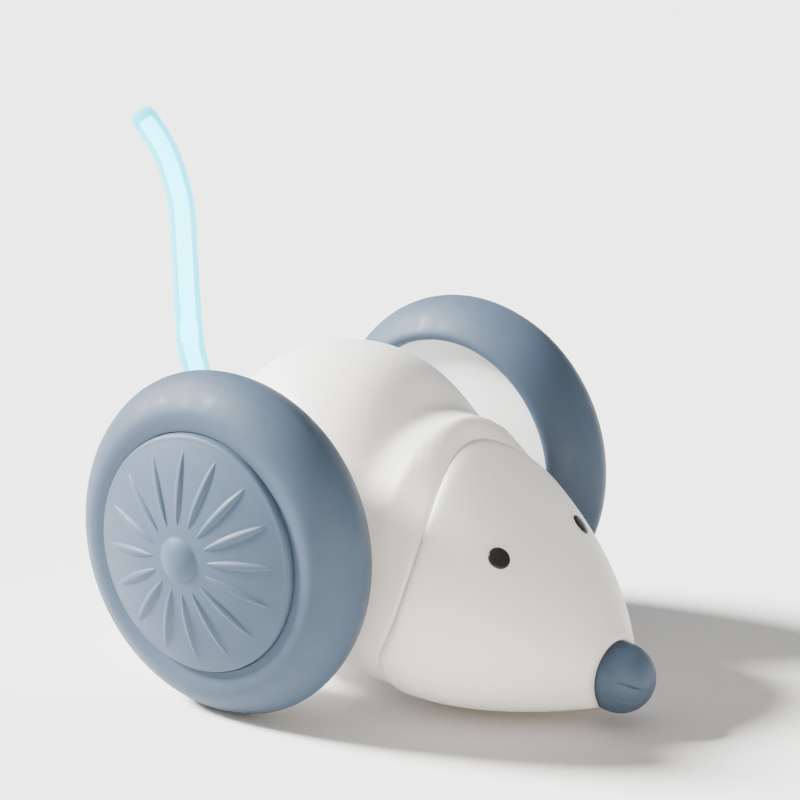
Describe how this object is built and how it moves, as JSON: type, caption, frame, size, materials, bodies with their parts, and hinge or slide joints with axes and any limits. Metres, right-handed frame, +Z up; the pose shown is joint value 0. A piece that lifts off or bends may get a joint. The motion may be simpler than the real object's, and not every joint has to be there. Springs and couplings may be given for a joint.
{
  "type": "rolling mouse toy",
  "caption": "Rolling mouse toy: egg-shaped white shell between two large geared silicone wheels, with a ball nose and a lit translucent tail.",
  "frame": {"origin": "on the floor under the middle of the overall length and width", "axes": "+X towards the nose, +Y to the mouse's left, +Z up"},
  "size_m": [0.1139, 0.0964, 0.0954],
  "materials": {
    "white_shell": "satin moulded ABS",
    "hub_white": "satin moulded ABS",
    "wheel_silicone": "soft matte silicone, blue-grey",
    "cap_plastic": "matte soft-touch, blue-grey",
    "nose_silicone": "soft matte silicone, blue-grey",
    "eye_black": "gloss moulded",
    "glide_nylon": "polished nylon",
    "tail_silicone": "translucent silicone, lit from inside",
    "lamp": "clear lens, lit",
    "socket_white": "moulded ABS",
    "wire_red": "insulated lead",
    "wire_black": "insulated lead",
    "board_green": "solder mask",
    "chip_black": "moulded package",
    "screw_steel": "plated",
    "port_steel": "stamped",
    "switch_black": "moulded",
    "button_blue": "soft matte",
    "battery_foil": "laminated foil",
    "foam": "foam tape",
    "gear_nylon": "natural acetal",
    "gear_brass": "machined",
    "steel_bar": "ground",
    "motor_steel": "drawn can",
    "gearbox_grey": "moulded acetal",
    "bush_bronze": "sintered bronze"
  },
  "bodies": {
    "body": {"upper_shell": "white_shell", "lower_shell": "white_shell", "head_shell": "white_shell", "nose": "nose_silicone", "right_eye": "eye_black", "left_eye": "eye_black", "front_glide": "glide_nylon", "tail_socket": "socket_white", "socket_lead_red": "wire_red", "socket_lead_black": "wire_black", "main_board": "board_green", "board_chips": "chip_black", "board_screws": "screw_steel", "shell_screws": "screw_steel", "charge_port": "port_steel", "power_switch": "switch_black", "battery": "battery_foil", "battery_pad": "foam", "battery_lead_red": "wire_red", "battery_lead_black": "wire_black", "motor_leads_red": "wire_red", "motor_leads_black": "wire_black", "right_motor_can": "motor_steel", "right_gear_pin": "steel_bar", "right_gearbox_case": "gearbox_grey", "right_gearbox_cover": "gearbox_grey", "right_axle_bushes": "bush_bronze", "right_gearbox_screws": "screw_steel", "left_motor_can": "motor_steel", "left_gear_pin": "steel_bar", "left_gearbox_case": "gearbox_grey", "left_gearbox_cover": "gearbox_grey", "left_axle_bushes": "bush_bronze", "left_gearbox_screws": "screw_steel"},
    "tail": {"tail_tube": "tail_silicone", "tail_lamp": "lamp", "tail_lead_red": "wire_red", "tail_lead_black": "wire_black"},
    "power_button": {"power_button": "button_blue"},
    "right_wheel": {"right_tyre": "wheel_silicone", "right_wheel_hub": "hub_white", "right_hub_cap": "cap_plastic", "right_axle": "steel_bar", "right_wheel_screw": "screw_steel", "right_output_gear": "gear_nylon"},
    "right_idler": {"right_compound_gear": "gear_nylon"},
    "right_rotor": {"right_motor_pinion": "gear_brass", "right_motor_shaft": "steel_bar"},
    "left_wheel": {"left_tyre": "wheel_silicone", "left_wheel_hub": "hub_white", "left_hub_cap": "cap_plastic", "left_axle": "steel_bar", "left_wheel_screw": "screw_steel", "left_output_gear": "gear_nylon"},
    "left_idler": {"left_compound_gear": "gear_nylon"},
    "left_rotor": {"left_motor_pinion": "gear_brass", "left_motor_shaft": "steel_bar"}
  },
  "joints": [
    {"name": "right_wheel_spin", "type": "hinge", "parent": "body", "child": "right_wheel", "pos_m": [-0.00705, 0, 0.03], "axis": [0, 1, 0], "continuous": true},
    {"name": "right_idler_spin", "type": "hinge", "parent": "body", "child": "right_idler", "pos_m": [0.0047, 0, 0.02573], "axis": [0, 1, 0], "continuous": true},
    {"name": "right_rotor_spin", "type": "hinge", "parent": "body", "child": "right_rotor", "pos_m": [0.00153, 0, 0.03678], "axis": [0, 1, 0], "continuous": true},
    {"name": "left_wheel_spin", "type": "hinge", "parent": "body", "child": "left_wheel", "pos_m": [-0.00705, 0, 0.03], "axis": [0, 1, 0], "continuous": true},
    {"name": "left_idler_spin", "type": "hinge", "parent": "body", "child": "left_idler", "pos_m": [0.0047, 0, 0.02573], "axis": [0, 1, 0], "continuous": true},
    {"name": "left_rotor_spin", "type": "hinge", "parent": "body", "child": "left_rotor", "pos_m": [0.00153, 0, 0.03678], "axis": [0, 1, 0], "continuous": true},
    {"name": "tail_flex", "type": "hinge", "parent": "body", "child": "tail", "pos_m": [-0.03455, 0, 0.0372], "axis": [0, 1, 0], "range_deg": [-20, 20], "stiffness_Nm_per_rad": 0.02},
    {"name": "button_press", "type": "slide", "parent": "body", "child": "power_button", "axis": [0, 0, 1], "range_m": [0, 0.0004], "stiffness_N_per_m": 800, "springref_m": -0.0002}
  ],
  "couplings": [
    {"joint": "right_idler_spin", "follows": "right_wheel_spin", "ratio": -4},
    {"joint": "right_rotor_spin", "follows": "right_wheel_spin", "ratio": 14.4},
    {"joint": "left_idler_spin", "follows": "left_wheel_spin", "ratio": -4},
    {"joint": "left_rotor_spin", "follows": "left_wheel_spin", "ratio": 14.4}
  ]
}
